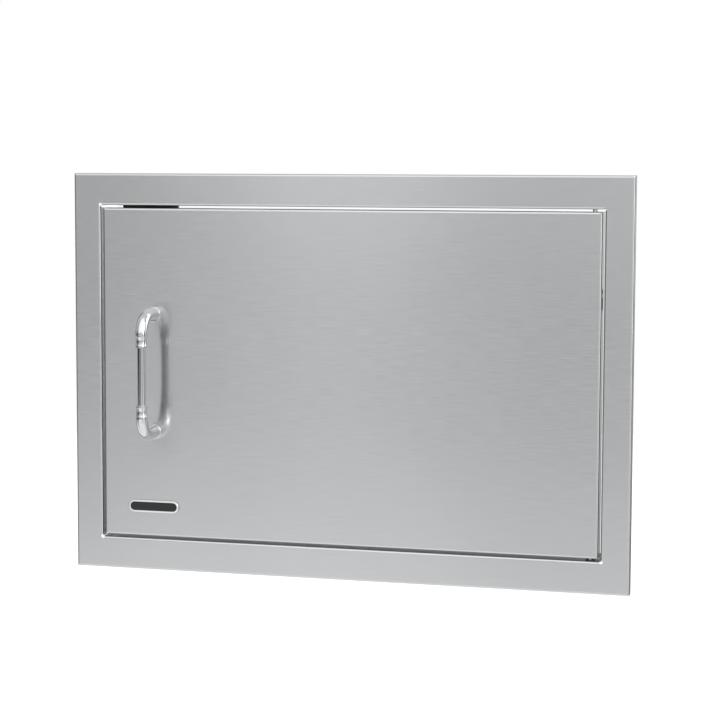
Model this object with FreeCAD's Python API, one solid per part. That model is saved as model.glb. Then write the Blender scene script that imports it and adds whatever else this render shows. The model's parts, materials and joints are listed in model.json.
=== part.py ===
import FreeCAD
import Part
import math
import os

Vector = FreeCAD.Vector

# The frame's origin is the centre of the opening, in the plane of the wall that the flange seats on.
# X runs to the hinge side, Y into the wall and Z up. All sizes are in millimetres.

# Face frame: one folded stainless sheet
frame_width = 609.6
frame_height = 431.8
flange_side = 30.5
flange_top = 34.5
frame_sheet = 1.2
frame_fold = 2.4
flange_depth = 10.0
box_depth = 50.0
wall_slit = 0.3
opening_relief = 2.0
opening_relief_offset = 0.5
weld_radius = 1.0

# Screw holes in the frame's box, for fixing it to the island
screw_hole_radius = 2.5
screw_hole_inset = 12.0
side_hole_spacing = 240.0
top_hole_spacing = 320.0

# Door: a folded outer pan closed by a flat liner
door_gap = 2.6
door_sheet = 1.0
door_fold = 2.4
door_depth = 20.0
door_lip = 12.0
pan_slit = 0.2
corner_relief = 0.9
corner_relief_inset = 0.6
liner_sheet = 1.0
liner_inset = 2.0
liner_corner = 4.0

# Rivets that hold the liner to the pan's lips
rivet_radius = 1.6
rivet_head_radius = 3.2
rivet_head_height = 1.2
rivet_tail_radius = 2.4
rivet_tail_height = 1.5
rivet_clearance = 0.05
rivet_crown_share = 0.6
rivet_columns = 4
rivet_column_inset = 100.0
rivet_rows = 3
rivet_row_inset = 45.0

# Hinge axis and pins
hinge_inset = 8.8
swing_clearance = 0.8
pin_radius = 2.4
pin_fit = 0.05
pin_hole_clearance = 0.25
pin_tip_chamfer = 0.8
pin_end_float = 0.1
pin_engagement = 5.0
pin_tip_stand = 0.8
tail_drop = 85.7
tail_bend = 4.0
tail_end_inset = 0.3
tail_slot_end = 4.8
tail_slot_side = 0.5

# Flanged nylon bushes in the frame
bush_wall = 1.6
bush_fold_clearance = 0.2
bush_flange = 0.8
bush_barrel = 6.0
bush_floor = 1.5
bush_clearance = 0.05

# Brackets inside the door that guide the sprung pin and carry the fixed one
bracket_sheet = 1.5
bracket_fold = 2.2
bracket_width = 13.0
bracket_base = 16.0
bracket_beyond_pin = 6.0
bracket_fold_clearance = 0.5

# Spring and clip of the sprung pin
spring_length = 45.0
spring_inner_radius = 2.8
spring_wire = 0.9
clip_thickness = 1.2
clip_radius = 4.3
clip_groove = 0.4
clip_gap = 0.1
clip_mouth = 3.0

# Fixed pin at the bottom
fixed_pin_head_radius = 4.3
fixed_pin_head = 2.0

# Handle
handle_from_edge = 57.75
handle_feet = 128.0
handle_stand = 36.5
elbow_bend = 20.0
elbow_foot_radius = 7.5
elbow_end_radius = 6.2
elbow_rings = 9
foot_rim_radius = 8.2
foot_rim = 1.0
foot_rim_round = 0.5
ferrule_length = 13.0
ferrule_radius = 6.2
ferrule_waist = 5.6
ferrule_bead = 1.8
ferrule_chamfer = 0.6
ferrule_groove = 0.9
ferrule_groove_radius = 5.3
tube_radius = 4.4
tube_wall = 1.0
tube_socket = 8.0
tube_clearance = 0.05
handle_screw_radius = 2.5
handle_screw_length = 12.0
handle_screw_head_radius = 4.75
handle_screw_head = 3.4
handle_screw_clearance = 0.05
handle_hole_clearance = 0.3
washer_radius = 8.0
washer_thickness = 1.5
screw_crown_share = 0.5

# Badge: a plain obround plate with a sunk dark field
badge_length = 57.6
badge_height = 13.6
badge_thickness = 1.6
badge_rim = 2.0
badge_rim_round = 0.7
badge_sink = 0.4
badge_field_thickness = 0.5
badge_field_clearance = 0.05
badge_from_edge = 57.4
badge_above_bottom = 33.0
badge_pad_thickness = 0.4
badge_pad_inset = 1.0

# Magnetic catch under the top wall of the box, and its strike plate on the door
catch_from_left = 46.7
catch_width = 63.5
catch_block_width = 40.0
catch_depth = 16.0
catch_height = 15.0
catch_ear = 3.5
catch_ear_round = 7.0
catch_round = 1.0
catch_gap = 0.3
catch_screw_spacing = 50.0
catch_screw_radius = 2.0
catch_screw_head_radius = 3.8
catch_screw_head = 2.4
catch_slot_length = 9.0
catch_screw_end = 1.0
catch_hole_clearance = 0.25
catch_pocket_clearance = 0.1
catch_nut_across = 7.0
catch_nut_thickness = 3.0
catch_nut_crown_radius = 3.4
catch_nut_clearance = 0.05
pole_thickness = 1.5
pole_length = 28.0
pole_reach = 9.0
magnet_height = 6.0
magnet_clearance = 0.1
magnet_set_back = 0.6
pole_stand = 0.4
strike_edge = 1.5
strike_height = 13.0
strike_sheet = 1.5
strike_top_inset = 0.6
strike_rivet_gap = 1.0
strike_corner = 2.0
strike_rivet_head = 0.8

# Length by which a cutter or a joined end runs past the face that it meets
lap = 1.0

# Places worked out from the sizes above
origin = Vector(0, 0, 0)
right = Vector(1, 0, 0)
back = Vector(0, 1, 0)
up = Vector(0, 0, 1)
front = -flange_depth
opening_half_width = frame_width / 2 - flange_side
opening_half_height = frame_height / 2 - flange_top
box_rear = front + box_depth
door_half_width = opening_half_width - door_gap
door_half_height = opening_half_height - door_gap
skin_back = front + door_sheet
door_rear = front + door_depth
liner_rear = door_rear + liner_sheet
strike_rear = liner_rear + strike_sheet
catch_front = strike_rear + catch_gap

# The hinge axis lies as far back as the rounded front corner can swing past the frame's wall.
hinge_x = door_half_width - hinge_inset
corner_reach = hinge_inset + door_gap - swing_clearance - door_fold
hinge_y = front + door_fold + math.sqrt(corner_reach ** 2 - (hinge_inset - door_fold) ** 2)

ear_under_top = door_half_height - door_sheet - bracket_sheet
clip_top = ear_under_top - clip_gap
spring_top = clip_top - clip_thickness
spring_foot = spring_top - spring_length
pin_tip = opening_half_height + frame_sheet + pin_engagement
pin_travel = pin_tip - door_half_height - pin_tip_stand
tail_z = door_half_height - tail_drop
fixed_pin_tip = -opening_half_height - frame_sheet - bush_barrel + pin_end_float
fixed_pin_seat = -door_half_height + door_sheet + bracket_sheet

handle_x = -door_half_width + handle_from_edge
grip_y = front - handle_stand
elbow_leg = handle_stand - elbow_bend
elbow_end = handle_feet / 2 - elbow_bend
badge_x = -door_half_width + badge_from_edge
badge_z = -door_half_height + badge_above_bottom
catch_x = -opening_half_width + catch_from_left
strike_z = door_half_height - liner_inset - strike_top_inset - strike_height / 2
strike_rivet_spacing = catch_block_width + 2 * (rivet_head_radius + strike_rivet_gap)
strike_length = strike_rivet_spacing + 2 * (rivet_head_radius + strike_edge)
bush_flange_radius = hinge_y - front - frame_fold - bush_fold_clearance


def block(low_x, high_x, low_y, high_y, low_z, high_z):
    """Box between two corners."""
    size = (high_x - low_x, high_y - low_y, high_z - low_z)
    return Part.makeBox(*size, Vector(low_x, low_y, low_z))


def rod(radius, start, end):
    """Round bar from one point to another."""
    along = end - start
    return Part.makeCylinder(radius, along.Length, start, along)


def ring(outer_radius, inner_radius, start, end):
    """Round sleeve from one point to another."""
    return rod(outer_radius, start, end).cut(rod(inner_radius, start, end))


def one_solid(pieces):
    """Pieces joined into one clean solid."""
    joined = pieces[0].fuse(pieces[1:])
    return joined.removeSplitter()


def edges_at(shape, spot):
    """Edges of a shape whose middle passes a test."""
    return [edge for edge in shape.Edges if spot(edge.CenterOfMass)]


def near(one, other):
    """Whether two lengths are the same."""
    return abs(one - other) < 0.001


def folded_line(path, depth, fold):
    """Line that runs depth under the outer face of a sheet with square folds."""
    runs = [(end - start) / (end - start).Length for start, end in zip(path, path[1:])]
    bend_axis = runs[0].cross(runs[1])
    insides = [bend_axis.cross(run) for run in runs]
    radius = fold - depth
    edges = []
    start = path[0] + insides[0] * depth
    for corner, before, after in zip(path[1:-1], insides, insides[1:]):
        centre = corner + (before + after) * fold
        first = centre - before * radius
        middle = centre - (before + after) * (radius / math.sqrt(2))
        last = centre - after * radius
        edges.append(Part.LineSegment(start, first).toShape())
        edges.append(Part.Arc(first, middle, last).toShape())
        start = last
    end = path[-1] + insides[-1] * depth
    edges.append(Part.LineSegment(start, end).toShape())
    return edges, path[0] + insides[0] * depth, end


def folded_strip(path, sheet, fold, run):
    """Sheet whose outer face follows path, folded square at its inner points, as long as run."""
    outer, outer_start, outer_end = folded_line(path, 0, fold)
    inner, inner_start, inner_end = folded_line(path, sheet, fold)
    caps = [Part.LineSegment(outer_end, inner_end).toShape()]
    caps.append(Part.LineSegment(inner_start, outer_start).toShape())
    wire = Part.Wire(Part.__sortEdges__(outer + inner + caps))
    return Part.Face(wire).extrude(run)


def four_sides(side, half_width, half_height):
    """The same folded side on all four edges of a rectangle about the origin."""
    right_side = side(half_width, half_height)
    top_side = side(half_height, half_width)
    top_side.rotate(origin, back, -90)
    return [right_side, right_side.mirror(origin, right), top_side, top_side.mirror(origin, up)]


def flange_pan(inset):
    """Block with the flange's outline, rounded along its front edges and welded corners."""
    half_width = frame_width / 2 - inset
    half_height = frame_height / 2 - inset
    pan = block(-half_width, half_width, front + inset, 0, -half_height, half_height)
    front_edges = edges_at(pan, lambda middle: near(middle.y, front + inset))
    return pan.makeFillet(frame_fold - inset, front_edges)


def box_wall(half_across, half_along):
    """Wall of the frame's box with its fold into the flange, on the +X side."""
    half_run = half_along - wall_slit
    path = [
        Vector(half_across + frame_fold + lap, front, -half_run),
        Vector(half_across, front, -half_run),
        Vector(half_across, box_rear, -half_run),
    ]
    return folded_strip(path, frame_sheet, frame_fold, up * (2 * half_run))


def corner_holes(radius, half_width, half_height):
    """Round reliefs through the folds at the four corners of a rectangle in the front face."""
    holes = []
    for side_x in (-1, 1):
        for side_z in (-1, 1):
            start = Vector(side_x * half_width, front - lap, side_z * half_height)
            holes.append(rod(radius, start, start + back * (frame_fold + 2 * lap)))
    return holes


def hole_rows():
    """Screw holes through the frame's box near its rear edge."""
    tools = []
    hole_y = box_rear - screw_hole_inset
    for side in (-1, 1):
        for end in (-1, 1):
            level = end * side_hole_spacing / 2
            wall = side * opening_half_width
            span = side * (frame_sheet + lap)
            start = Vector(wall - span, hole_y, level)
            tools.append(rod(screw_hole_radius, start, Vector(wall + span, hole_y, level)))
            place = end * top_hole_spacing / 2
            wall = side * opening_half_height
            start = Vector(place, hole_y, wall - span)
            tools.append(rod(screw_hole_radius, start, Vector(place, hole_y, wall + span)))
    return tools


def bush_holes():
    """Holes for the two pivot bushes."""
    radius = pin_radius + pin_fit + bush_wall + bush_clearance
    tools = []
    for side in (-1, 1):
        level = side * opening_half_height
        start = Vector(hinge_x, hinge_y, level - side * lap)
        tools.append(rod(radius, start, start + up * (side * (frame_sheet + 2 * lap))))
    return tools


def slot_block(radius, length, place, height):
    """Upright obround along Y, for slots and their screws."""
    half = length / 2 - radius
    pieces = [block(
        place.x - radius, place.x + radius, place.y - half, place.y + half, place.z, place.z + height
    )]
    for end in (-half, half):
        start = place + back * end
        pieces.append(rod(radius, start, start + up * height))
    return one_solid(pieces)


def catch_screw_places():
    """Points on the catch's middle line where its two screws stand."""
    middle = catch_front + catch_depth / 2
    return [Vector(catch_x + end * catch_screw_spacing / 2, middle, 0) for end in (-1, 1)]


def face_frame():
    """Flange with returned edges and the box that lines the opening, folded from one sheet.

    The flange stays flat in the four corner squares between the folds, and a small round relief
    parts the walls' ends there.
    """
    windows = []
    for half_width, half_height in (
        (opening_half_width + frame_fold, opening_half_height),
        (opening_half_width, opening_half_height + frame_fold),
    ):
        windows.append(block(-half_width, half_width, front - lap, lap, -half_height, half_height))
    flange = flange_pan(0).cut([flange_pan(frame_sheet)] + windows)
    walls = four_sides(box_wall, opening_half_width, opening_half_height)
    frame = one_solid([flange] + walls)
    corners = edges_at(
        frame,
        lambda middle: near(abs(middle.x), frame_width / 2) and near(abs(middle.z), frame_height / 2),
    )
    frame = frame.makeFillet(weld_radius, corners)
    tools = hole_rows() + bush_holes() + corner_holes(
        opening_relief,
        opening_half_width + opening_relief_offset,
        opening_half_height + opening_relief_offset,
    )
    for place in catch_screw_places():
        tools.append(rod(
            catch_screw_radius + catch_hole_clearance,
            place + up * (opening_half_height - lap),
            place + up * (opening_half_height + frame_sheet + lap),
        ))
    return frame.cut(tools)


def top_pivot_bush():
    """Flanged sleeve pushed down through the top wall; the sprung pin enters it from below."""
    bore = pin_radius + pin_fit
    sleeve = bore + bush_wall
    foot = Vector(hinge_x, hinge_y, opening_half_height)
    shoulder = foot + up * frame_sheet
    pieces = [
        rod(sleeve, foot, shoulder + up * bush_barrel),
        rod(bush_flange_radius, shoulder, shoulder + up * bush_flange),
    ]
    return one_solid(pieces).cut(rod(bore, foot - up * lap, shoulder + up * (bush_barrel + lap)))


def bottom_pivot_bush():
    """Flanged cup dropped through the bottom wall; its floor carries the door's weight."""
    bore = pin_radius + pin_fit
    sleeve = bore + bush_wall
    shoulder = Vector(hinge_x, hinge_y, -opening_half_height)
    floor = shoulder - up * (frame_sheet + bush_barrel)
    pieces = [
        rod(sleeve, floor - up * bush_floor, shoulder),
        rod(bush_flange_radius, shoulder, shoulder + up * bush_flange),
    ]
    return one_solid(pieces).cut(rod(bore, floor, shoulder + up * (bush_flange + lap)))


def pan_side(half_across, half_along):
    """Return and rear lip of the door's pan on the +X side, mitred at both ends."""
    path = [
        Vector(half_across - door_fold - lap, front, -half_along),
        Vector(half_across, front, -half_along),
        Vector(half_across, door_rear, -half_along),
        Vector(half_across - door_lip, door_rear, -half_along),
    ]
    strip = folded_strip(path, door_sheet, door_fold, up * (2 * half_along))
    reach = door_lip + lap
    end = half_along - pan_slit
    outline = Part.makePolygon([
        Vector(half_across, front, end),
        Vector(half_across - reach, front, end - reach),
        Vector(half_across - reach, front, reach - end),
        Vector(half_across, front, -end),
        Vector(half_across, front, end),
    ])
    return strip.common(Part.Face(outline).extrude(back * door_depth))


def liner_rivet_places():
    """Rivets along the middle of the lips: columns along the top and bottom, rows up the sides."""
    inset = door_lip / 2 + door_sheet / 2
    half_x = door_half_width - rivet_column_inset
    half_z = door_half_height - rivet_row_inset
    places = []
    for side in (-1, 1):
        for column in range(rivet_columns):
            x = -half_x + 2 * half_x * column / (rivet_columns - 1)
            places.append(Vector(x, liner_rear, side * (door_half_height - inset)))
        for row in range(rivet_rows):
            z = -half_z + 2 * half_z * row / (rivet_rows - 1)
            places.append(Vector(side * (door_half_width - inset), liner_rear, z))
    return places


def strike_rivet_places():
    """Two rivets that hold the strike plate, on its rear face."""
    return [
        Vector(catch_x + end * strike_rivet_spacing / 2, strike_rear, strike_z) for end in (-1, 1)
    ]


def rivet_holes(places):
    """Holes from the rivets' heads forward through the lips."""
    radius = rivet_radius + rivet_clearance
    lip_front = door_rear - door_sheet
    holes = []
    for place in places:
        holes.append(rod(radius, place + back * lap, Vector(place.x, lip_front - lap, place.z)))
    return holes


def handle_foot_places():
    """Points on the door's front face where the handle's feet stand."""
    return [Vector(handle_x, front, side * handle_feet / 2) for side in (-1, 1)]


def door_skin():
    """Outer pan: flat front, four returns with rear lips, relieved corners, pin holes and tail slot."""
    flat_half_width = door_half_width - door_fold
    flat_half_height = door_half_height - door_fold
    flat = block(
        -flat_half_width, flat_half_width, front, skin_back, -flat_half_height, flat_half_height
    )
    skin = one_solid([flat] + four_sides(pan_side, door_half_width, door_half_height))
    tools = rivet_holes(liner_rivet_places() + strike_rivet_places()) + corner_holes(
        corner_relief,
        door_half_width - corner_relief_inset,
        door_half_height - corner_relief_inset,
    )
    for side in (-1, 1):
        level = side * door_half_height
        start = Vector(hinge_x, hinge_y, level + side * lap)
        end = start - up * (side * (door_sheet + 2 * lap))
        tools.append(rod(pin_radius + pin_hole_clearance, start, end))
    for foot in handle_foot_places():
        radius = handle_screw_radius + handle_hole_clearance
        tools.append(rod(radius, foot - back * lap, foot + back * (door_sheet + lap)))
    tools.append(tail_slot())
    return skin.cut(tools)


def tail_slot():
    """Obround slot in the hinge-side return that the sprung pin's bent tail moves along."""
    radius = pin_radius + tail_slot_side
    upper = tail_z + pin_radius + tail_slot_end - radius
    lower = tail_z - pin_travel - pin_radius - tail_slot_end + radius
    inner = door_half_width - door_sheet - lap
    outer = door_half_width + lap
    pieces = [block(inner, outer, hinge_y - radius, hinge_y + radius, lower, upper)]
    for level in (lower, upper):
        pieces.append(rod(radius, Vector(inner, hinge_y, level), Vector(outer, hinge_y, level)))
    return one_solid(pieces)


def door_liner():
    """Flat inner sheet with rounded corners that closes the pan from behind."""
    half_width = door_half_width - liner_inset
    half_height = door_half_height - liner_inset
    sheet = block(-half_width, half_width, door_rear, liner_rear, -half_height, half_height)
    corners = edges_at(
        sheet, lambda middle: near(abs(middle.x), half_width) and near(abs(middle.z), half_height)
    )
    sheet = sheet.makeFillet(liner_corner, corners)
    return sheet.cut(rivet_holes(liner_rivet_places() + strike_rivet_places()))


def rivet(place, head_height):
    """Pop rivet: round head behind, shank through the sheets and formed tail inside the lip."""
    lip_front = Vector(place.x, door_rear - door_sheet, place.z)
    head = rod(rivet_head_radius, place, place + back * head_height)
    crown = edges_at(head, lambda middle: near(middle.y, place.y + head_height))
    head = head.makeFillet(head_height * rivet_crown_share, crown)
    tail = rod(rivet_tail_radius, lip_front, lip_front - back * rivet_tail_height)
    return one_solid([head, rod(rivet_radius, place, lip_front), tail])


def liner_rivets():
    """All rivets of the liner."""
    return Part.makeCompound([rivet(place, rivet_head_height) for place in liner_rivet_places()])


def strike_rivets():
    """The two low-headed rivets of the strike plate."""
    return Part.makeCompound([rivet(place, strike_rivet_head) for place in strike_rivet_places()])


def strike_plate():
    """Magnetic steel plate behind the door's top edge that the catch pulls on."""
    half = strike_length / 2
    tall = strike_height / 2
    plate = block(
        catch_x - half, catch_x + half, liner_rear, strike_rear, strike_z - tall, strike_z + tall
    )
    corners = edges_at(
        plate,
        lambda middle: near(abs(middle.x - catch_x), half) and near(abs(middle.z - strike_z), tall),
    )
    return plate.makeFillet(strike_corner, corners).cut(rivet_holes(strike_rivet_places()))


def hinge_bracket(ear_face, side):
    """Folded bracket on the skin's back: its ear lies square to the pin, its base runs along it."""
    right_edge = door_half_width - door_fold - bracket_fold_clearance
    left_edge = right_edge - bracket_width
    ear_end = hinge_y + bracket_beyond_pin
    path = [
        Vector(left_edge, ear_end, ear_face),
        Vector(left_edge, skin_back, ear_face),
        Vector(left_edge, skin_back, ear_face - side * bracket_base),
    ]
    bracket = folded_strip(path, bracket_sheet, bracket_fold, right * bracket_width)
    start = Vector(hinge_x, hinge_y, ear_face + side * lap)
    hole = rod(pin_radius + pin_fit, start, start - up * (side * (bracket_sheet + 2 * lap)))
    return bracket.cut(hole)


def top_guide_bracket():
    """Bracket under the top return that guides the sprung pin."""
    return hinge_bracket(door_half_height - door_sheet, 1)


def spring_bracket():
    """Second guide of the sprung pin, and the seat of its spring."""
    return hinge_bracket(spring_foot, 1)


def bottom_pin_bracket():
    """Bracket on the bottom return that carries the fixed pin's head."""
    return hinge_bracket(-door_half_height + door_sheet, -1)


def sprung_hinge_pin():
    """Pin at the door's top, drawn down by its bent tail to lift the door out."""
    bend_start = Vector(hinge_x, hinge_y, tail_z + tail_bend)
    shank = Part.makeCylinder(pin_radius, pin_tip - bend_start.z, bend_start, up)
    tip_edge = edges_at(shank, lambda middle: near(middle.z, pin_tip))
    shank = shank.makeChamfer(pin_tip_chamfer, tip_edge)
    groove_foot = Vector(hinge_x, hinge_y, clip_top - clip_thickness)
    groove = ring(
        pin_radius + lap, pin_radius - clip_groove, groove_foot, groove_foot + up * clip_thickness
    )
    section = Part.Face(Part.Wire(Part.makeCircle(pin_radius, bend_start, up)))
    elbow = section.revolve(bend_start + right * tail_bend, back, -90)
    tail_start = Vector(hinge_x + tail_bend, hinge_y, tail_z)
    tail_end = Vector(door_half_width - tail_end_inset, hinge_y, tail_z)
    pin = one_solid([shank, elbow, rod(pin_radius, tail_start, tail_end)])
    return pin.cut(groove)


def pin_clip():
    """Open retaining ring in the sprung pin's groove; the spring pushes up on it."""
    top = Vector(hinge_x, hinge_y, clip_top)
    clip = ring(clip_radius, pin_radius - clip_groove + pin_fit, top - up * clip_thickness, top)
    mouth = block(
        hinge_x - clip_radius - lap, hinge_x, hinge_y - clip_mouth / 2, hinge_y + clip_mouth / 2,
        clip_top - clip_thickness, clip_top,
    )
    return clip.cut(mouth)


def pin_spring():
    """Compression spring round the sprung pin, as the sleeve that its coils fill."""
    foot = Vector(hinge_x, hinge_y, spring_foot)
    outer = spring_inner_radius + spring_wire
    return ring(outer, spring_inner_radius, foot, foot + up * spring_length)


def bottom_hinge_pin():
    """Fixed pin: its head sits on the bracket and its tip stands in the cup bush."""
    tip = Vector(hinge_x, hinge_y, fixed_pin_tip)
    seat = Vector(hinge_x, hinge_y, fixed_pin_seat)
    shank = rod(pin_radius, tip, seat)
    tip_edge = edges_at(shank, lambda middle: near(middle.z, fixed_pin_tip))
    shank = shank.makeChamfer(pin_tip_chamfer, tip_edge)
    head = rod(fixed_pin_head_radius, seat, seat + up * fixed_pin_head)
    return one_solid([shank, head])


def elbow_ring(step):
    """Section of the elbow: straight out from the door, then a quarter turn down to the grip."""
    quarter = elbow_bend * math.pi / 2
    along = (elbow_leg + quarter) * step / elbow_rings
    angle = 90 + 90 * max(0, along - elbow_leg) / quarter
    leg = min(along, elbow_leg)
    y = front - leg + elbow_bend * math.cos(math.radians(angle))
    z = elbow_end + elbow_bend * math.sin(math.radians(angle))
    share = step / elbow_rings
    eased = share * share * (3 - 2 * share)
    radius = elbow_foot_radius + (elbow_end_radius - elbow_foot_radius) * eased
    circle = Part.Wire(Part.makeCircle(radius))
    circle.rotate(origin, right, angle)
    circle.translate(Vector(handle_x, y, z))
    return circle


def handle_elbow():
    """Cast elbow that narrows from its rimmed foot to the grip, bored for the screw and the tube."""
    body = Part.makeLoft([elbow_ring(step) for step in range(elbow_rings + 1)], True, False)
    foot = Vector(handle_x, front, handle_feet / 2)
    rim = rod(foot_rim_radius, foot, foot - back * foot_rim)
    rim = rim.makeFillet(foot_rim_round, edges_at(rim, lambda middle: near(middle.y, front - foot_rim)))
    screw_end = foot - back * (handle_screw_length - door_sheet - washer_thickness + lap)
    socket = Vector(handle_x, grip_y, elbow_end)
    elbow = body.fuse(rim)
    elbow = elbow.cut(rod(handle_screw_radius + handle_screw_clearance, foot + back * lap, screw_end))
    return elbow.cut(rod(tube_radius + tube_clearance, socket - up * lap, socket + up * tube_socket))


def handle_ferrule():
    """Turned collar between the elbow and the tube: groove, waisted body and end bead."""
    top = elbow_end
    foot = elbow_end - ferrule_length
    bore = tube_radius + tube_clearance
    body_top = top - ferrule_groove
    body_foot = foot + ferrule_bead
    waist_z = (body_top + body_foot) / 2
    corners = [
        Vector(bore, 0, foot),
        Vector(ferrule_radius - ferrule_chamfer, 0, foot),
        Vector(ferrule_radius, 0, foot + ferrule_chamfer),
        Vector(ferrule_radius, 0, body_foot),
    ]
    after = [
        Vector(ferrule_radius, 0, body_top),
        Vector(ferrule_groove_radius, 0, body_top),
        Vector(ferrule_groove_radius, 0, top),
        Vector(bore, 0, top),
        Vector(bore, 0, foot),
    ]
    waist = Part.Arc(corners[-1], Vector(ferrule_waist, 0, waist_z), after[0]).toShape()
    outline = Part.Wire(Part.makePolygon(corners).Edges + [waist] + Part.makePolygon(after).Edges)
    collar = Part.Face(outline).revolve(origin, up, 360)
    collar.translate(Vector(handle_x, grip_y, 0))
    return collar


def handle_tube():
    """Straight grip tube whose ends sit in the elbows' sockets."""
    half = elbow_end + tube_socket - 2 * tube_clearance
    low = Vector(handle_x, grip_y, -half)
    high = Vector(handle_x, grip_y, half)
    return ring(tube_radius, tube_radius - tube_wall, low, high)


def handle_screws():
    """Pan-head screws driven from inside the door into the elbows."""
    screws = []
    for foot in handle_foot_places():
        seat = foot + back * (door_sheet + washer_thickness)
        head = rod(handle_screw_head_radius, seat, seat + back * handle_screw_head)
        crown = edges_at(head, lambda middle: near(middle.y, seat.y + handle_screw_head))
        head = head.makeFillet(handle_screw_head * screw_crown_share, crown)
        shank = rod(handle_screw_radius, seat, seat - back * handle_screw_length)
        screws.append(one_solid([head, shank]))
    return Part.makeCompound(screws)


def handle_washers():
    """Wide washers that spread the handle's pull over the thin skin."""
    bore = handle_screw_radius + handle_hole_clearance
    washers = []
    for foot in handle_foot_places():
        seat = foot + back * door_sheet
        washers.append(ring(washer_radius, bore, seat, seat + back * washer_thickness))
    return Part.makeCompound(washers)


def obround(length, height, near_y, far_y):
    """Plate with round ends, centred on the badge, between two depths."""
    radius = height / 2
    half = length / 2 - radius
    pieces = [block(badge_x - half, badge_x + half, near_y, far_y, badge_z - radius, badge_z + radius)]
    for end in (-half, half):
        start = Vector(badge_x + end, near_y, badge_z)
        pieces.append(rod(radius, start, start + back * (far_y - near_y)))
    return one_solid(pieces)


def badge_bezel():
    """Badge plate with a rounded rim about a sunk field."""
    rear = front - badge_pad_thickness
    face = rear - badge_thickness
    plate = obround(badge_length, badge_height, face, rear)
    plate = plate.makeFillet(badge_rim_round, edges_at(plate, lambda middle: near(middle.y, face)))
    floor = face + badge_sink + badge_field_thickness
    recess = obround(badge_length - 2 * badge_rim, badge_height - 2 * badge_rim, face - lap, floor)
    return plate.cut(recess)


def badge_field():
    """Dark inlay in the badge, left bare."""
    face = front - badge_pad_thickness - badge_thickness + badge_sink
    inset = badge_rim + badge_field_clearance
    return obround(
        badge_length - 2 * inset, badge_height - 2 * inset, face, face + badge_field_thickness
    )


def badge_pad():
    """Adhesive pad between the badge and the door."""
    length = badge_length - 2 * badge_pad_inset
    height = badge_height - 2 * badge_pad_inset
    return obround(length, height, front - badge_pad_thickness, front)


def pole_blocks(clearance, stand):
    """Space of the catch's two pole plates, one above and one below the magnet."""
    half = pole_length / 2 + clearance
    middle = opening_half_height - catch_height / 2
    rear = catch_front + pole_stand + pole_reach + clearance
    blocks = []
    for side in (-1, 1):
        inner = middle + side * (magnet_height / 2 - clearance)
        outer = middle + side * (magnet_height / 2 + pole_thickness + clearance)
        blocks.append(block(
            catch_x - half, catch_x + half, catch_front + stand, rear,
            min(inner, outer), max(inner, outer),
        ))
    return blocks


def magnet_block(clearance, stand):
    """Space of the catch's magnet, between the pole plates."""
    half = pole_length / 2 + clearance
    middle = opening_half_height - catch_height / 2
    rear = catch_front + pole_stand + pole_reach + clearance
    half_height = magnet_height / 2 - magnet_clearance + clearance
    return block(
        catch_x - half, catch_x + half, catch_front + stand, rear,
        middle - half_height, middle + half_height,
    )


def catch_housing():
    """Moulded catch body with slotted ears, open in front for the magnet and its pole plates."""
    top = opening_half_height
    face = catch_front + pole_stand
    rear = catch_front + catch_depth
    half = catch_width / 2
    block_half = catch_block_width / 2
    ears = block(catch_x - half, catch_x + half, face, rear, top - catch_ear, top)
    ear_corners = edges_at(
        ears, lambda middle: near(abs(middle.x - catch_x), half) and near(middle.z, top - catch_ear / 2)
    )
    ears = ears.makeFillet(catch_ear_round, ear_corners)
    body = block(catch_x - block_half, catch_x + block_half, face, rear, top - catch_height, top)
    lower = edges_at(body, lambda middle: near(middle.z, top - catch_height))
    body = body.makeFillet(catch_round, lower)
    housing = one_solid([ears, body])
    pockets = pole_blocks(catch_pocket_clearance, 0) + [magnet_block(catch_pocket_clearance, 0)]
    radius = catch_screw_radius + catch_hole_clearance
    for place in catch_screw_places():
        foot = place + up * (top - catch_ear - lap)
        pockets.append(slot_block(radius, catch_slot_length, foot, catch_ear + 2 * lap))
    return housing.cut(pockets)


def catch_magnet():
    """Bar magnet held between the pole plates."""
    return magnet_block(0, pole_stand + magnet_set_back)


def catch_pole_plates():
    """Two steel plates that carry the magnet's pull to the strike plate."""
    return Part.makeCompound(pole_blocks(0, 0))


def catch_screws():
    """Screws up through the catch's ears and the frame's top wall."""
    screws = []
    for place in catch_screw_places():
        seat = place + up * (opening_half_height - catch_ear)
        head = rod(catch_screw_head_radius, seat - up * catch_screw_head, seat)
        crown = edges_at(head, lambda middle: near(middle.z, seat.z - catch_screw_head))
        head = head.makeFillet(catch_screw_head * screw_crown_share, crown)
        length = catch_ear + frame_sheet + catch_nut_thickness + catch_screw_end
        screws.append(one_solid([head, rod(catch_screw_radius, seat, seat + up * length)]))
    return Part.makeCompound(screws)


def catch_nuts():
    """Hexagon nuts on the catch's screws, above the frame's top wall, with a coned crown."""
    nuts = []
    reach = catch_nut_across / math.sqrt(3)
    bore = catch_screw_radius + catch_nut_clearance
    cone_foot = catch_nut_crown_radius + catch_nut_thickness * math.sqrt(3)
    for place in catch_screw_places():
        seat = place + up * (opening_half_height + frame_sheet)
        corners = []
        for turn in range(7):
            angle = math.radians(60 * turn)
            corners.append(seat + right * (reach * math.cos(angle)) + back * (reach * math.sin(angle)))
        nut = Part.Face(Part.makePolygon(corners)).extrude(up * catch_nut_thickness)
        nut = nut.common(Part.makeCone(
            cone_foot, catch_nut_crown_radius, catch_nut_thickness, seat, up
        ))
        nuts.append(nut.cut(rod(bore, seat - up * lap, seat + up * (catch_nut_thickness + lap))))
    return Part.makeCompound(nuts)


def save(name, shape):
    """Write one piece to its own file and say how large it is."""
    shape.exportStep(os.path.join("parts", name + ".step"))
    print(name, "solids", len(shape.Solids), "valid", shape.isValid(), "volume", round(shape.Volume, 1))


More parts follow.
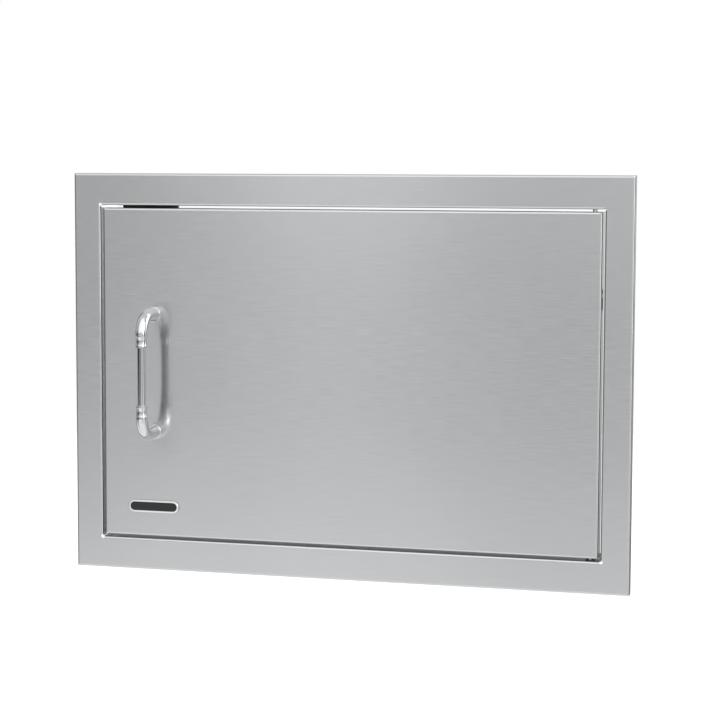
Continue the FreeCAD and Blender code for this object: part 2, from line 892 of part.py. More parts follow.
def main():
    os.makedirs("parts", exist_ok=True)
    makers = (
        face_frame, top_pivot_bush, bottom_pivot_bush, catch_housing, catch_magnet, catch_pole_plates,
        catch_screws, catch_nuts, door_skin, door_liner, liner_rivets, top_guide_bracket, spring_bracket,
        bottom_pin_bracket, bottom_hinge_pin, sprung_hinge_pin, pin_clip, pin_spring, strike_plate,
        strike_rivets, handle_tube, handle_screws, handle_washers, badge_bezel, badge_field, badge_pad,
    )
    for maker in makers:
        save(maker.__name__, maker())
    for maker in (handle_elbow, handle_ferrule):
        piece = maker()
        save(maker.__name__ + "_top", piece)
        save(maker.__name__ + "_bottom", piece.mirror(origin, up))


main()
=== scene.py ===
import json
import math

import bmesh
import bpy
from mathutils import Matrix, Vector


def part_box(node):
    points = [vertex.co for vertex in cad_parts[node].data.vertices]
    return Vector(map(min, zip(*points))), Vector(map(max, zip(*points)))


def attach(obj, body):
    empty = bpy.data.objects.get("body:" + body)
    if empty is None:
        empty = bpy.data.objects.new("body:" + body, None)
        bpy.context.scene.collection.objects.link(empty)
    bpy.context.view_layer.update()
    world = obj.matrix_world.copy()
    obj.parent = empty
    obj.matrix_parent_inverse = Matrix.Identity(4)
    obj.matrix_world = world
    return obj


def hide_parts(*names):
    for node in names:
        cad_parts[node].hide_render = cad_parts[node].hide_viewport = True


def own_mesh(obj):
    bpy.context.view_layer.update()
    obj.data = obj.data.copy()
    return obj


# The part's own frame: X to the hinge side, Y into the wall, Z up
# Lengths are in metres, or in millimetres where the heading says so
MM = 0.001

# Camera, fitted to the frame's four corners in the photograph
CAMERA_PLACE = Vector((0.5649, -2.0780, 0.2216))
CAMERA_YAW = math.radians(14.83)
CAMERA_PITCH = math.radians(5.36)
CAMERA_ROLL = math.radians(0.21)
CAMERA_LENS = 101.9
CAMERA_REACH = 100
SENSOR_WIDTH = 36.0

# Floor under the door and its frame, which hang in the air as in the photograph
FLOOR_DROP = 0.70
FLOOR_RADIUS = 5.0
FLOOR_SIDES = 128
FLOOR_GLOW = 0.35

# Brightness of the studio by elevation in degrees, which its ramp holds as shares of ROOM_SCALE
ROOM_SCALE = 2.0
ROOM_LEVELS = (
    (-90, 1.15), (-36, 1.15), (-22, 0.85), (-9, 0.6), (-5, 0.3),
    (-1, 0.45), (15, 0.77), (40, 0.8), (90, 0.8),
)

# Soft boxes and grey cards: azimuth, elevation, half width and half height in degrees, strength, edge
# They stand where the steel then has the photograph's tones. A card's strength is below zero, and an
# edge goes from 1, the softest, to 3.
SOFT_BOXES = (
    (-15.4, 6.6, 4.9, 12.8, 0.7, 1),
    (-17.3, -17.7, 21.4, 8.1, 0.7, 1),
    (-6.4, 1.2, 4.0, 4.0, 0.46, 1),
    (-12.8, -6.3, 12.0, 3.5, -0.4, 1),
    (-31.0, -4.0, 6.0, 12.0, 0.12, 2),
    (-20.6, -9.4, 1.4, 0.9, 0.50, 2),
    (16.0, 0.0, 19.0, 20.0, 0.40, 2),
    (64.0, 2.0, 12.0, 24.0, 0.70, 2),
    (60.0, 14.0, 12.0, 15.0, 2.4, 2),
    (104.0, 0.0, 20.0, 55.0, -0.32, 2),
    (60.0, 27.0, 20.0, 12.0, 3.0, 2),
    (-66.0, 0.0, 25.0, 55.0, -0.30, 2),
    (15.0, 46.0, 62.0, 33.0, 0.75, 3),
    (180.0, -1.0, 58.0, 7.0, 0.48, 3),
    (180.0, 12.0, 60.0, 8.0, -0.60, 3),
    (156.0, 0.0, 10.0, 4.5, 1.8, 2),
    (173.0, 0.0, 8.0, 30.0, -0.45, 2),
    (-159.0, -11.0, 12.0, 6.0, -0.4, 2),
    (159.0, -11.0, 9.0, 6.0, -0.4, 2),
    (50.0, 49.0, 2.5, 2.5, 14.0, 1),
)

# Grain of the sheet in millimetres: length and width of its scratches and of its streaks
SCRATCH = (20, 0.12)
STREAK = (45, 0.8)

# A face counts as lying where its normal's upward share is above this
LYING_FROM = 0.7

# Long waves of the rolled sheet in millimetres
SHEET_WAVE_SPACING = 240
SHEET_WAVE_HEIGHT = 1.2

# Dents in millimetres round what is fixed to the sheet: place across and up, reach, depth
DENTS = (
    (-214, 64, 22, 0.12),
    (-214, -64, 22, 0.12),
    (-214, 0, 60, 0.30),
)

# Places of the liner's rivets in millimetres, across and up from the opening's centre
RIVET_COLUMNS = 4
RIVET_COLUMNS_REACH = 171.7
RIVET_COLUMNS_HEIGHT = 172.3
RIVET_ROWS = 3
RIVET_ROWS_REACH = 133.8
RIVET_ROWS_SIDE = 265.2

# Pop rivets in millimetres; a grip is how thick the sheets are that a rivet holds
RIVET_SIDES = 32
RIVET_RADIUS = 1.6
RIVET_HEAD_RADIUS = 3.2
LINER_RIVET_HEAD = 1.2
LINER_RIVET_GRIP = 2.0
STRIKE_RIVET_HEAD = 0.8
STRIKE_RIVET_GRIP = 3.5

# Rivet's head from the snapped mandrel in its hole outwards: radius, and height as a share of the head's
RIVET_HEAD_PROFILE = (
    (0.0, 0.42), (0.55, 0.44), (0.72, 0.36), (0.86, 0.36), (0.92, 0.86), (1.10, 0.97),
    (1.50, 1.0), (2.10, 0.93), (2.62, 0.74), (2.98, 0.46), (3.17, 0.14),
)

# Rivet's swelled tail: radius, and depth in front of the sheets
RIVET_TAIL_PROFILE = (
    (2.25, 0.1), (2.40, 0.5), (2.25, 1.0), (1.80, 1.35), (1.05, 1.42), (0.95, 1.5), (0.0, 1.5),
)

# Screws of the catch in millimetres
CATCH_SCREW_SIDES = 24
CATCH_SCREW_HEAD_RADIUS = 3.8
CATCH_SCREW_HEAD = 2.4
CATCH_SCREW_HEAD_RIM = 0.3
CATCH_SCREW_RADIUS = 2.0
CATCH_SCREW_PITCH = 0.7
CATCH_SCREW_THREAD_DEPTH = 0.38
CATCH_SCREW_THREAD_END = 8.2
CATCH_SCREW_PITCH_STEPS = 6
CATCH_SCREW_TIP = 0.5
CATCH_SCREW_TIP_RADIUS = 1.5

# Dome of the screw's head: radius, and height above its seat in the direction of the shank
CATCH_SCREW_DOME = ((1.6, -2.36), (2.6, -2.12), (3.3, -1.62), (3.68, -0.95))

# Cross recess in millimetres: half length and half width of its arms above the head and at its floor
CROSS_ABOVE = 1
CROSS_MOUTH = (1.9, 0.42)
CROSS_DEPTH = 1.5
CROSS_FLOOR = (0.9, 0.28)

# Spring on the sprung pin in millimetres
SPRING_WIRE = 0.9
SPRING_WIRE_SIDES = 10
SPRING_RADIUS = 3.25
SPRING_TURNS = 16
SPRING_TURN_STEPS = 28
SPRING_CLOSED_TURNS = 1.5
SPRING_CLOSED_PITCH = 0.95

# Edges of new pieces stay sharp where their faces meet at more than this
SHARP_ANGLE = math.radians(35)

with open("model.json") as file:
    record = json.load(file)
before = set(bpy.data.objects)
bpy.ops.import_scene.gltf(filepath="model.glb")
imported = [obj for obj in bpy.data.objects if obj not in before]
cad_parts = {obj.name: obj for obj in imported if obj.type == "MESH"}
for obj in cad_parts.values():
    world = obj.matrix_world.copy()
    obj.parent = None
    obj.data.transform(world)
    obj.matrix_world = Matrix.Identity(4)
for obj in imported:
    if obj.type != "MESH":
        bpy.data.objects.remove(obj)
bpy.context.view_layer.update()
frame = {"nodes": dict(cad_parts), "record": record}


def linear(hex_colour):
    """sRGB hex value as linear RGBA."""
    channels = [int(hex_colour[place:place + 2], 16) / 255 for place in (1, 3, 5)]
    values = [c / 12.92 if c <= 0.04045 else ((c + 0.055) / 1.055) ** 2.4 for c in channels]
    return (*values, 1.0)


def add_node(tree, kind, inputs=None, **settings):
    """A node with its settings, and its inputs set or linked by name or number."""
    node = tree.nodes.new(kind)
    for name, value in settings.items():
        setattr(node, name, value)
    for name, value in (inputs or {}).items():
        if isinstance(value, bpy.types.NodeSocket):
            tree.links.new(value, node.inputs[name])
        else:
            node.inputs[name].default_value = value
    return node


def new_material(name, **values):
    """Material with one Principled shader whose sockets are set by name."""
    material = bpy.data.materials.new(name)
    material.use_nodes = True
    tree = material.node_tree
    shader = tree.nodes["Principled BSDF"]
    for socket, value in values.items():
        shader.inputs[socket.replace("_", " ")].default_value = value
    return material, tree, shader


def mottled_finish(name, colours, roughness, spot, relief, depth, stretch=(1, 1, 1), **values):
    """Finish that wanders between two colours and two roughnesses over a shallow relief.

    spot and relief are how wide the spots and the bumps are and depth how deep the bumps, in metres.
    """
    material, tree, shader = new_material(name, **values)
    place = add_node(tree, "ShaderNodeTexCoord").outputs["Object"]
    place = add_node(tree, "ShaderNodeVectorMath", {0: place, 1: stretch}, operation="MULTIPLY").outputs[0]
    spots = add_node(tree, "ShaderNodeTexNoise", {"Vector": place, "Scale": 1 / spot, "Detail": 3.0})
    bumps = add_node(tree, "ShaderNodeTexNoise", {"Vector": place, "Scale": 1 / relief, "Detail": 2.0})
    colour = add_node(
        tree, "ShaderNodeMix", {0: spots.outputs[0], 6: linear(colours[0]), 7: linear(colours[1])},
        data_type="RGBA",
    )
    rough = add_node(tree, "ShaderNodeMapRange", {
        "Value": spots.outputs[0], "From Min": 0.3, "From Max": 0.7,
        "To Min": roughness[0], "To Max": roughness[1],
    })
    raised = add_node(
        tree, "ShaderNodeBump", {"Strength": 1.0, "Distance": depth, "Height": bumps.outputs[0]}
    )
    tree.links.new(colour.outputs[2], shader.inputs["Base Color"])
    tree.links.new(rough.outputs[0], shader.inputs["Roughness"])
    tree.links.new(raised.outputs[0], shader.inputs["Normal"])
    return material


def sheet_grain(tree, place):
    """The belt's scratches and streaks, which turn with the folds, and the direction across them."""
    normal = add_node(tree, "ShaderNodeTexCoord").outputs["Normal"]
    facing = add_node(tree, "ShaderNodeSeparateXYZ", {0: normal}).outputs["Z"]
    steep = add_node(tree, "ShaderNodeMath", {0: facing}, operation="ABSOLUTE").outputs[0]
    lying = add_node(tree, "ShaderNodeMath", {0: steep, 1: LYING_FROM}, operation="GREATER_THAN").outputs[0]
    x, y, z = add_node(tree, "ShaderNodeSeparateXYZ", {0: place}).outputs
    along = add_node(tree, "ShaderNodeMath", {0: x, 1: y}, operation="ADD").outputs[0]
    across = add_node(tree, "ShaderNodeMix", {0: lying, 2: z, 3: y}, data_type="FLOAT").outputs[0]
    flat = add_node(tree, "ShaderNodeCombineXYZ", {0: along, 1: across}).outputs[0]
    marks = []
    for length, width in (SCRATCH, STREAK):
        size = (length * MM, width * MM, 1)
        counted = add_node(tree, "ShaderNodeVectorMath", {0: flat, 1: size}, operation="DIVIDE").outputs[0]
        mark = add_node(tree, "ShaderNodeTexNoise", {"Vector": counted, "Scale": 1.0, "Detail": 3.0})
        marks.append(mark.outputs[0])
    upward = add_node(tree, "ShaderNodeMix", {0: lying, 4: (0, 0, 1), 5: (0, 1, 0)}, data_type="VECTOR")
    turned = add_node(
        tree, "ShaderNodeVectorTransform", {0: upward.outputs[1]}, convert_from="OBJECT", convert_to="WORLD"
    )
    return *marks, turned.outputs[0]


def sheet_height(tree, place):
    """Height of a sheet that isn't quite flat: its long waves less the dents round what is fixed to it."""
    waves = add_node(tree, "ShaderNodeTexNoise", {
        "Vector": place, "Scale": 1 / (SHEET_WAVE_SPACING * MM), "Detail": 1.0,
    }).outputs[0]
    height = add_node(tree, "ShaderNodeMath", {0: waves, 1: SHEET_WAVE_HEIGHT * MM}, operation="MULTIPLY")
    flat = add_node(tree, "ShaderNodeVectorMath", {0: place, 1: (1, 0, 1)}, operation="MULTIPLY").outputs[0]
    for across, up, reach, depth in DENTS:
        middle = (across * MM, 0, up * MM)
        apart = add_node(tree, "ShaderNodeVectorMath", {0: flat, 1: middle}, operation="DISTANCE").outputs[1]
        share = add_node(tree, "ShaderNodeMath", {0: apart, 1: reach * MM}, operation="DIVIDE").outputs[0]
        square = add_node(tree, "ShaderNodeMath", {0: share, 1: share}, operation="MULTIPLY").outputs[0]
        away = add_node(tree, "ShaderNodeMath", {0: square, 1: -1.0}, operation="MULTIPLY").outputs[0]
        fall = add_node(tree, "ShaderNodeMath", {0: away}, operation="EXPONENT").outputs[0]
        height = add_node(
            tree, "ShaderNodeMath", {0: fall, 1: -depth * MM, 2: height.outputs[0]}, operation="MULTIPLY_ADD"
        )
    return height.outputs[0]


def brushed_stainless():
    """304 sheet, belt-ground with a horizontal grain.

    The grain keeps reflections sharp sideways, smears them up and down and lays a soft haze over them.
    Its scratches are drawn 0.12 mm wide, about twice the real ones, so that they show from close by.
    Where many lie side by side they make streaks, drawn 0.8 mm wide, which just show from the camera.
    """
    material, tree, shader = new_material(
        "brushed_stainless", Base_Color=linear("#c3c4c5"), Metallic=1.0, Roughness=0.2, Anisotropic=0.9
    )
    place = add_node(tree, "ShaderNodeTexCoord").outputs["Object"]
    scratches, streaks, across = sheet_grain(tree, place)
    shade = add_node(tree, "ShaderNodeMapRange", {"Value": streaks, "From Min": 0.35, "From Max": 0.65})
    ends = {0: shade.outputs[0], 6: linear("#c2c3c4"), 7: linear("#c5c6c7")}
    colour = add_node(tree, "ShaderNodeMix", ends, data_type="RGBA")
    rough = add_node(tree, "ShaderNodeMapRange", {
        "Value": scratches, "From Min": 0.40, "From Max": 0.72, "To Min": 0.15, "To Max": 0.24,
    })
    raised = add_node(
        tree, "ShaderNodeBump", {"Strength": 1.0, "Distance": 1.0, "Height": sheet_height(tree, place)}
    )
    tree.links.new(colour.outputs[2], shader.inputs["Base Color"])
    tree.links.new(rough.outputs[0], shader.inputs["Roughness"])
    tree.links.new(raised.outputs[0], shader.inputs["Normal"])
    tree.links.new(across, shader.inputs["Tangent"])
    return material


def polished_chrome():
    """Chrome plate over cast brass: a hard-edged mirror with the castings' faint ripple under it."""
    return mottled_finish(
        "polished_chrome", ("#cdcfd0", "#d1d3d4"), (0.02, 0.05), 4 * MM, 9 * MM, 0.03 * MM,
        Base_Color=linear("#cfd1d2"), Metallic=1.0, Roughness=0.03,
    )


def polished_stainless():
    """Bright drawn bar: a clear sheen with fine draw lines along its length."""
    return mottled_finish(
        "polished_stainless", ("#cccdce", "#d2d3d4"), (0.1, 0.24), 0.25 * MM, 0.25 * MM, 0.004 * MM,
        stretch=(1, 1, 0.02), Base_Color=linear("#cfd0d1"), Metallic=1.0, Roughness=0.15,
    )


def zinc_plated_steel():
    """Bright zinc plate over pressed steel: cool grey, faintly straw-coloured in places, finely pitted."""
    return mottled_finish(
        "zinc_plated_steel", ("#bfc5cb", "#cbc8bc"), (0.26, 0.46), 3 * MM, 0.4 * MM, 0.02 * MM,
        Base_Color=linear("#c4c8cc"), Metallic=1.0, Roughness=0.35,
    )


def black_nylon():
    """Moulded nylon: black with a low satin sheen over a spark-eroded grain."""
    return mottled_finish(
        "black_nylon", ("#191a1c", "#232426"), (0.36, 0.52), 0.5 * MM, 0.5 * MM, 0.03 * MM,
        Base_Color=linear("#1d1e20"), Metallic=0.0, Roughness=0.42, IOR=1.53,
    )


def ferrite_magnet():
    """Ground ceramic ferrite: dull dark grey with paler grinding dust in its pores."""
    return mottled_finish(
        "ferrite_magnet", ("#2e2f31", "#4a4b4c"), (0.5, 0.75), 0.6 * MM, 0.6 * MM, 0.03 * MM,
        Base_Color=linear("#3a3b3d"), Metallic=0.0, Roughness=0.6,
    )


def black_enamel():
    """Enamel filled into the badge's recess: glossy black with a slight ripple from the filling."""
    return mottled_finish(
        "black_enamel", ("#151618", "#1a1b1d"), (0.12, 0.24), 2 * MM, 4 * MM, 0.02 * MM,
        Base_Color=linear("#17181a"), Metallic=0.0, Roughness=0.18, IOR=1.5,
    )


def black_foam_tape():
    """Closed-cell foam tape behind the badge: matt black with small round cells."""
    material, tree, shader = new_material(
        "black_foam_tape", Base_Color=linear("#1a1a1b"), Metallic=0.0, Roughness=0.9
    )
    place = add_node(tree, "ShaderNodeTexCoord").outputs["Object"]
    cells = add_node(
        tree, "ShaderNodeTexVoronoi", {"Vector": place, "Scale": 1 / (0.4 * MM)}
    ).outputs["Distance"]
    colour = add_node(
        tree, "ShaderNodeMix", {0: cells, 6: linear("#0f0f10"), 7: linear("#232324")}, data_type="RGBA"
    )
    raised = add_node(tree, "ShaderNodeBump", {"Strength": 1.0, "Distance": 0.1 * MM, "Height": cells})
    tree.links.new(colour.outputs[2], shader.inputs["Base Color"])
    tree.links.new(raised.outputs[0], shader.inputs["Normal"])
    return material


def pale_floor():
    """White painted studio floor: as white as the background where nothing shades it."""
    material, tree, shader = new_material("pale_floor", Base_Color=linear("#e9e9e9"), Roughness=0.9)
    place = add_node(tree, "ShaderNodeTexCoord").outputs["Object"]
    paint = add_node(tree, "ShaderNodeTexNoise", {"Vector": place, "Scale": 1 / (300 * MM)}).outputs[0]
    colour = add_node(
        tree, "ShaderNodeMix", {0: paint, 6: linear("#e6e6e6"), 7: linear("#ececec")}, data_type="RGBA"
    )
    path = add_node(tree, "ShaderNodeLightPath").outputs
    seen = path["Is Camera Ray"]
    for also in ("Is Glossy Ray", "Is Transmission Ray"):
        seen = add_node(tree, "ShaderNodeMath", {0: seen, 1: path[also]}, operation="MAXIMUM").outputs[0]
    glow = add_node(tree, "ShaderNodeMath", {0: seen, 1: FLOOR_GLOW}, operation="MULTIPLY")
    shader.inputs["Emission Color"].default_value = (1, 1, 1, 1)
    tree.links.new(colour.outputs[2], shader.inputs["Base Color"])
    tree.links.new(glow.outputs[0], shader.inputs["Emission Strength"])
    return material


def make_finishes():
    """Every finish of the record's slots, by name."""
    makers = (
        brushed_stainless, polished_chrome, polished_stainless, zinc_plated_steel,
        black_nylon, ferrite_magnet, black_enamel, black_foam_tape,
    )
    return {maker.__name__: maker() for maker in makers}


def dress_cad_nodes():
    """Each CAD node gets the finish that the record names for it."""
    for part in frame["record"]["subparts"]:
        node = frame["nodes"][part["node"]]
        node.data.materials.clear()
        node.data.materials.append(finishes[part["material_slot"]])


def new_piece(name, mesh_maker, finish, body, *replaced):
    """Piece from a bmesh, in the part's frame, that takes a CAD node's place on its body."""
    mesh = bpy.data.meshes.new(name)
    mesh_maker.normal_update()
    mesh_maker.to_mesh(mesh)
    mesh_maker.free()
    mesh.materials.append(finishes[finish])
    mesh.shade_smooth()
    mesh.set_sharp_from_angle(angle=SHARP_ANGLE)
    piece = bpy.data.objects.new(name, mesh)
    bpy.context.scene.collection.objects.link(piece)
    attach(piece, body)
    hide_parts(*replaced)
    return piece


def turn(shape, outline, foot, axis, sides, swirl=None):
    """Adds a turned solid: outline is radius and height in millimetres from foot along axis.

    It starts and ends on the axis. swirl gives a radius that also depends on the angle, for threads.
    """
    aside = axis.orthogonal().normalized()
    other = axis.cross(aside)
    rows = []
    for radius, height in outline:
        middle = foot + axis * (height * MM)
        if radius == 0:
            rows.append([shape.verts.new(middle)])
            continue
        row = []
        for side in range(sides):
            angle = 2 * math.pi * side / sides
            reach = radius if swirl is None else swirl(radius, height, angle)
            spoke = aside * math.cos(angle) + other * math.sin(angle)
            row.append(shape.verts.new(middle + spoke * (reach * MM)))
        rows.append(row)
    for lower, upper in zip(rows, rows[1:]):
        for side in range(sides):
            following = (side + 1) % sides
            corners = [lower[side % len(lower)], lower[following % len(lower)]]
            corners += [upper[following % len(upper)], upper[side % len(upper)]]
            face = []
            for corner in corners:
                if corner not in face:
                    face.append(corner)
            shape.faces.new(face)


def rivet_outline(head, grip):
    """Pop rivet of a head's height and a grip: domed head, shank and swelled tail."""
    dome = [(radius, share * head) for radius, share in RIVET_HEAD_PROFILE]
    shank = [(RIVET_HEAD_RADIUS, 0.0), (RIVET_RADIUS, 0.0), (RIVET_RADIUS, -grip)]
    tail = [(radius, -grip - depth) for radius, depth in RIVET_TAIL_PROFILE]
    return dome + shank + tail


def spread(count, reach):
    """Places evenly spaced from -reach to reach."""
    return [reach * (2 * place / (count - 1) - 1) for place in range(count)]


def make_rivets():
    """The liner's pop rivets and the two low-headed ones of the strike plate."""
    back = Vector((0, 1, 0))
    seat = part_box("liner_rivets")[1][1] - LINER_RIVET_HEAD * MM
    outline = rivet_outline(LINER_RIVET_HEAD, LINER_RIVET_GRIP)
    columns = spread(RIVET_COLUMNS, RIVET_COLUMNS_REACH)
    rows = spread(RIVET_ROWS, RIVET_ROWS_REACH)
    spots = [(x, side * RIVET_COLUMNS_HEIGHT) for side in (-1, 1) for x in columns]
    spots += [(side * RIVET_ROWS_SIDE, z) for side in (-1, 1) for z in rows]
    rivets = bmesh.new()
    for x, z in spots:
        turn(rivets, outline, Vector((x * MM, seat, z * MM)), back, RIVET_SIDES)
    new_piece("liner_pop_rivets", rivets, "zinc_plated_steel", "door", "liner_rivets")

    low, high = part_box("strike_rivets")
    seat = high[1] - STRIKE_RIVET_HEAD * MM
    outline = rivet_outline(STRIKE_RIVET_HEAD, STRIKE_RIVET_GRIP)
    rivets = bmesh.new()
    for x in (low[0] + RIVET_HEAD_RADIUS * MM, high[0] - RIVET_HEAD_RADIUS * MM):
        foot = Vector((x, seat, (low[2] + high[2]) / 2))
        turn(rivets, outline, foot, back, RIVET_SIDES)
    new_piece("strike_pop_rivets", rivets, "zinc_plated_steel", "door", "strike_rivets")


def threaded(radius, height, angle):
    """Radius of a screw at a height and angle: threaded on the shank, plain on the head and the tip."""
    if radius != CATCH_SCREW_RADIUS or height > CATCH_SCREW_THREAD_END:
        return radius
    turn_share = (height / CATCH_SCREW_PITCH - angle / (2 * math.pi)) % 1
    return radius - CATCH_SCREW_THREAD_DEPTH * abs(2 * turn_share - 1)


def cross_cutter(foot, axis):
    """Cutter for a cross recess that is sunk from foot along an axis."""
    cutter = bmesh.new()
    turned = axis.to_track_quat("Z", "Y").to_matrix().to_4x4()
    for angle in (0, 90):
        place = Matrix.Translation(foot) @ turned @ Matrix.Rotation(math.radians(angle), 4, "Z")
        corners = []
        for level, (half_long, half_wide) in ((-CROSS_ABOVE, CROSS_MOUTH), (CROSS_DEPTH, CROSS_FLOOR)):
            for x, y in ((-1, -1), (1, -1), (1, 1), (-1, 1)):
                spot = Vector((x * half_long, y * half_wide, level)) * MM
                corners.append(cutter.verts.new(place @ spot))
        for face in ((3, 2, 1, 0), (4, 5, 6, 7), (0, 1, 5, 4), (1, 2, 6, 5), (2, 3, 7, 6), (3, 0, 4, 7)):
            cutter.faces.new([corners[corner] for corner in face])
    mesh = bpy.data.meshes.new("recess")
    cutter.to_mesh(mesh)
    cutter.free()
    return mesh


def sink(piece, mesh):
    """Cuts a cutter's mesh out of a piece."""
    cutter = bpy.data.objects.new("recess", mesh)
    bpy.context.scene.collection.objects.link(cutter)
    cut = piece.modifiers.new("sink", "BOOLEAN")
    cut.operation = "DIFFERENCE"
    cut.solver = "EXACT"
    cut.use_self = True
    cut.object = cutter
    bpy.context.view_layer.update()
    finished = piece.evaluated_get(bpy.context.evaluated_depsgraph_get())
    result = bpy.data.meshes.new_from_object(finished)
    piece.modifiers.clear()
    piece.data = result
    bpy.data.objects.remove(cutter)


def make_catch_screws():
    """Pan-head screws with cross recesses and cut threads, up through the catch's ears."""
    low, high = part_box("catch_screws")
    up = Vector((0, 0, 1))
    middle = (low[1] + high[1]) / 2
    length = (high[2] - low[2]) / MM - CATCH_SCREW_HEAD
    head = [
        (0.0, -CATCH_SCREW_HEAD), *CATCH_SCREW_DOME, (CATCH_SCREW_HEAD_RADIUS, -CATCH_SCREW_HEAD_RIM),
        (CATCH_SCREW_HEAD_RADIUS, 0.0), (CATCH_SCREW_RADIUS, 0.0),
    ]
    straight = length - CATCH_SCREW_TIP
    steps = round(straight / (CATCH_SCREW_PITCH / CATCH_SCREW_PITCH_STEPS))
    shank = [(CATCH_SCREW_RADIUS, straight * step / steps) for step in range(1, steps + 1)]
    outline = head + shank + [(CATCH_SCREW_TIP_RADIUS, length), (0.0, length)]
    screws = bmesh.new()
    cutters = []
    for x in (low[0] + CATCH_SCREW_HEAD_RADIUS * MM, high[0] - CATCH_SCREW_HEAD_RADIUS * MM):
        seat = Vector((x, middle, low[2] + CATCH_SCREW_HEAD * MM))
        turn(screws, outline, seat, up, CATCH_SCREW_SIDES, threaded)
        cutters.append(cross_cutter(seat - up * (CATCH_SCREW_HEAD * MM), up))
    piece = new_piece("catch_pan_screws", screws, "zinc_plated_steel", "frame", "catch_screws")
    for mesh in cutters:
        sink(piece, mesh)


def spring_height(turns, length):
    """Height of the wire's middle after some turns: close together at both ends, open between."""
    closed = SPRING_CLOSED_TURNS
    rise = SPRING_CLOSED_PITCH
    open_turns = SPRING_TURNS - 2 * closed
    pitch = (length - SPRING_WIRE - 2 * closed * rise) / open_turns
    lower = min(turns, closed) * rise
    upper = max(turns - SPRING_TURNS + closed, 0) * rise
    between = min(max(turns - closed, 0), open_turns) * pitch
    return SPRING_WIRE / 2 + lower + between + upper


def make_spring():
    """Wound compression spring over the sprung pin, its turns close together at both ends."""
    low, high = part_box("pin_spring")
    foot = Vector(((low[0] + high[0]) / 2, (low[1] + high[1]) / 2, low[2]))
    length = (high[2] - low[2]) / MM
    coil = bmesh.new()
    rings = []
    for step in range(SPRING_TURNS * SPRING_TURN_STEPS + 1):
        turns = step / SPRING_TURN_STEPS
        angle = 2 * math.pi * turns
        out = Vector((math.cos(angle), math.sin(angle), 0))
        middle = foot + (out * SPRING_RADIUS + Vector((0, 0, spring_height(turns, length)))) * MM
        ring = []
        for side in range(SPRING_WIRE_SIDES):
            lean = 2 * math.pi * side / SPRING_WIRE_SIDES
            spoke = out * math.cos(lean) + Vector((0, 0, math.sin(lean)))
            ring.append(coil.verts.new(middle + spoke * (SPRING_WIRE / 2 * MM)))
        rings.append(ring)
    for before, after in zip(rings, rings[1:]):
        for side in range(SPRING_WIRE_SIDES):
            following = (side + 1) % SPRING_WIRE_SIDES
            coil.faces.new((before[side], after[side], after[following], before[following]))
    coil.faces.new(rings[0])
    coil.faces.new(list(reversed(rings[-1])))
    piece = new_piece("pin_coil_spring", coil, "zinc_plated_steel", "door", "pin_spring")
    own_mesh(piece)


def make_camera():
    """Camera at the photograph's angle."""
    forward = Vector((
        -math.sin(CAMERA_YAW) * math.cos(CAMERA_PITCH),
        math.cos(CAMERA_YAW) * math.cos(CAMERA_PITCH),
        -math.sin(CAMERA_PITCH),
    ))
    level = Vector((math.cos(CAMERA_YAW), math.sin(CAMERA_YAW), 0))
    upward = level.cross(forward)
    right = level * math.cos(CAMERA_ROLL) + upward * math.sin(CAMERA_ROLL)
    top = upward * math.cos(CAMERA_ROLL) - level * math.sin(CAMERA_ROLL)
    data = bpy.data.cameras.new("camera")
    data.lens = CAMERA_LENS
    data.sensor_width = SENSOR_WIDTH
    data.clip_end = CAMERA_REACH
    camera = bpy.data.objects.new("camera", data)
    axes = Matrix((right, top, -forward)).transposed().to_4x4()
    camera.matrix_world = Matrix.Translation(CAMERA_PLACE) @ axes
    bpy.context.scene.collection.objects.link(camera)
    bpy.context.scene.camera = camera


def soft_box(tree, facing, glow, box):
    """Glow with one soft box or grey card added: even across its middle and fading past its edges."""
    azimuth, elevation, half_width, half_height, strength, edge = box
    centre = (azimuth, elevation, 0)
    apart = add_node(tree, "ShaderNodeVectorMath", {0: facing, 1: centre}, operation="SUBTRACT").outputs[0]
    turn_ends = {0: apart, 1: (180, 180, 180), 2: (-180, -180, -180)}
    apart = add_node(tree, "ShaderNodeVectorMath", turn_ends, operation="WRAP").outputs[0]
    size = (half_width, half_height, 1)
    share = add_node(tree, "ShaderNodeVectorMath", {0: apart, 1: size}, operation="DIVIDE").outputs[0]
    power = share
    for _ in range(edge - 1):
        power = add_node(tree, "ShaderNodeVectorMath", {0: power, 1: share}, operation="MULTIPLY").outputs[0]
    beyond = add_node(tree, "ShaderNodeVectorMath", {0: power, 1: power}, operation="DOT_PRODUCT").outputs[1]
    away = add_node(tree, "ShaderNodeMath", {0: beyond, 1: -1.0}, operation="MULTIPLY").outputs[0]
    fade = add_node(tree, "ShaderNodeMath", {0: away}, operation="EXPONENT").outputs[0]
    lit = {0: fade, 1: strength, 2: glow}
    return add_node(tree, "ShaderNodeMath", lit, operation="MULTIPLY_ADD").outputs[0]


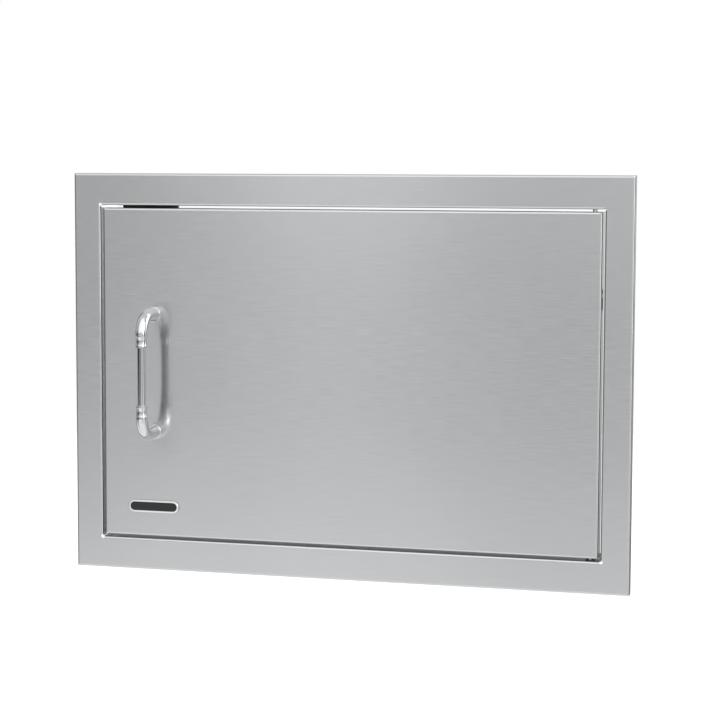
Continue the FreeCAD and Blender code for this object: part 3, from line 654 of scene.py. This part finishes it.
def make_world():
    """White surround for the camera; for light and reflections a studio of soft boxes and grey cards."""
    world = bpy.data.worlds.new("studio")
    bpy.context.scene.world = world
    world.use_nodes = True
    tree = world.node_tree
    tree.nodes.clear()
    way = add_node(tree, "ShaderNodeTexCoord").outputs["Generated"]
    x, y, z = add_node(tree, "ShaderNodeSeparateXYZ", {0: way}).outputs
    ahead = add_node(tree, "ShaderNodeMath", {0: y, 1: -1.0}, operation="MULTIPLY").outputs[0]
    around = add_node(tree, "ShaderNodeMath", {0: x, 1: ahead}, operation="ARCTAN2").outputs[0]
    rise = add_node(tree, "ShaderNodeMath", {0: z}, operation="ARCSINE").outputs[0]
    turns = add_node(tree, "ShaderNodeCombineXYZ", {0: around, 1: rise}).outputs[0]
    degrees = {0: turns, "Scale": 180 / math.pi}
    facing = add_node(tree, "ShaderNodeVectorMath", degrees, operation="SCALE").outputs[0]

    room = add_node(tree, "ShaderNodeMapRange", {
        "Value": rise, "From Min": -math.pi / 2, "From Max": math.pi / 2,
    })
    ramp = add_node(tree, "ShaderNodeValToRGB", {0: room.outputs[0]})
    levels = ramp.color_ramp
    levels.interpolation = "EASE"
    while len(levels.elements) < len(ROOM_LEVELS):
        levels.elements.new(0.5)
    for element, (height, level) in zip(levels.elements, ROOM_LEVELS):
        element.position = (height + 90) / 180
        share = level / ROOM_SCALE
        element.color = (share, share, share, 1)
    glow = add_node(
        tree, "ShaderNodeMath", {0: ramp.outputs[0], 1: ROOM_SCALE}, operation="MULTIPLY"
    ).outputs[0]
    for box in SOFT_BOXES:
        glow = soft_box(tree, facing, glow, box)
    studio = add_node(tree, "ShaderNodeBackground", {"Color": (1, 1, 1, 1), "Strength": glow}).outputs[0]
    white = add_node(tree, "ShaderNodeBackground", {"Color": (1, 1, 1, 1), "Strength": 1.0}).outputs[0]
    seen = add_node(tree, "ShaderNodeLightPath").outputs["Is Camera Ray"]
    mixed = add_node(tree, "ShaderNodeMixShader", {0: seen, 1: studio, 2: white}).outputs[0]
    add_node(tree, "ShaderNodeOutputWorld", {0: mixed})


def make_floor():
    """Round white floor below the door. The world already holds its light in the reflections."""
    shape = bmesh.new()
    rim = []
    for side in range(FLOOR_SIDES):
        angle = 2 * math.pi * side / FLOOR_SIDES
        place = (FLOOR_RADIUS * math.cos(angle), FLOOR_RADIUS * math.sin(angle), -FLOOR_DROP)
        rim.append(shape.verts.new(place))
    shape.faces.new(rim)
    mesh = bpy.data.meshes.new("floor")
    shape.to_mesh(mesh)
    shape.free()
    mesh.materials.append(pale_floor())
    floor = bpy.data.objects.new("floor", mesh)
    bpy.context.scene.collection.objects.link(floor)
    floor.visible_glossy = False


bpy.context.scene.view_settings.view_transform = "Standard"
finishes = make_finishes()
make_camera()
make_world()
make_floor()
dress_cad_nodes()
make_rivets()
make_catch_screws()
make_spring()
